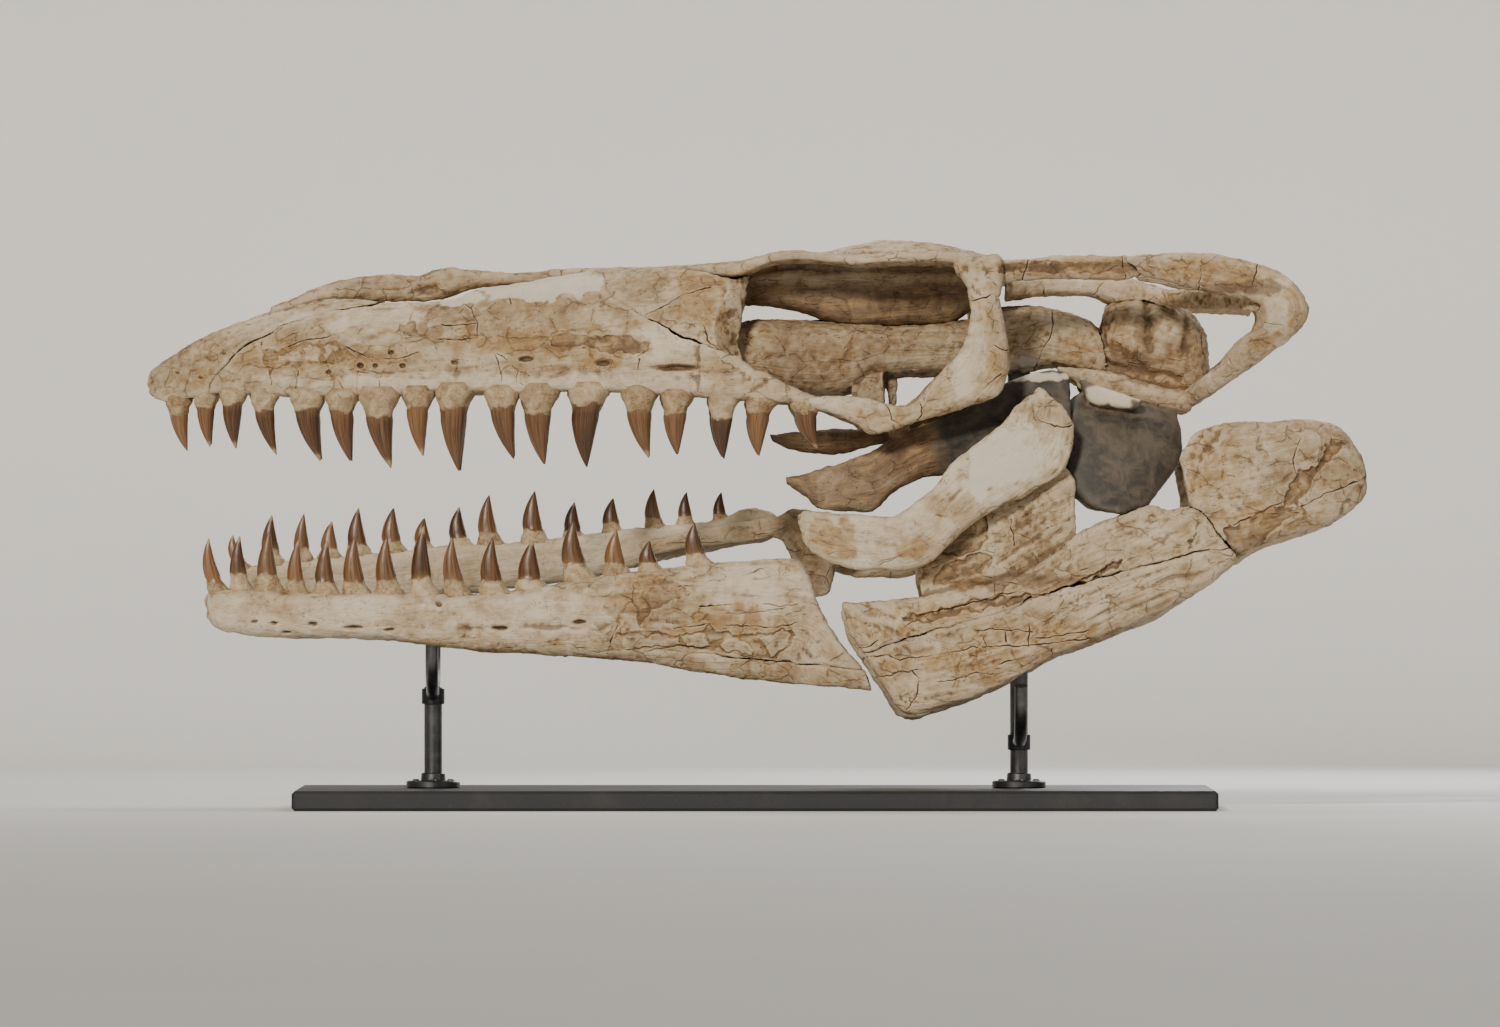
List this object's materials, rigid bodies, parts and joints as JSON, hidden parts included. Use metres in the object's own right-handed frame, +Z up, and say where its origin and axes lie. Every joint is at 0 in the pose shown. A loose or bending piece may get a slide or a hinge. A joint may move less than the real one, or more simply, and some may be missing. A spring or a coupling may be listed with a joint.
{
  "type": "fossil mosasaur skull",
  "caption": "Life-size fossil mosasaur skull with open, toothed jaws, bone by bone, held side-on by two rods on a flat display base.",
  "frame": {"origin": "centre of the display base's underside, on the floor, midway along the skull's length", "axes": "+X from the snout to the back of the skull, +Y from the animal's left side (which faces the camera) to its right, +Z up"},
  "size_m": [1.218, 0.372, 0.569],
  "materials": {
    "pale_bone": "pale tan to white fossil bone, matte, cracked and stained, with glossy brown tooth crowns",
    "ochre_bone": "ochre-stained fossil bone, matte",
    "brown_bone": "pitted brown-orange fossil bone, matte",
    "grey_cast": "grey-brown mottled restored bone, smooth matte",
    "black_board": "black painted board",
    "dark_steel": "dark satin steel rod"
  },
  "bodies": {
    "root": {"premaxilla": "ochre_bone", "maxilla_left": "pale_bone", "maxilla_right": "pale_bone", "prefrontal_left": "pale_bone", "prefrontal_right": "pale_bone", "frontal": "pale_bone", "jugal_left": "pale_bone", "jugal_right": "pale_bone", "postorbital_left": "pale_bone", "postorbital_right": "pale_bone", "squamosal_left": "pale_bone", "squamosal_right": "pale_bone", "parietal": "ochre_bone", "braincase": "brown_bone", "basisphenoid": "brown_bone", "palatine_block": "pale_bone", "pterygoid_left": "pale_bone", "pterygoid_right": "pale_bone", "quadrate_left": "grey_cast", "quadrate_right": "grey_cast", "dentary_left": "pale_bone", "dentary_right": "pale_bone", "splenial_left": "pale_bone", "splenial_right": "pale_bone", "coronoid_left": "pale_bone", "coronoid_right": "pale_bone", "surangular_left": "pale_bone", "surangular_right": "pale_bone", "angular_left": "pale_bone", "angular_right": "pale_bone", "articular_left": "pale_bone", "articular_right": "pale_bone", "stand_base": "black_board", "stand_post_front": "dark_steel", "stand_post_rear": "dark_steel"}
  },
  "joints": []
}
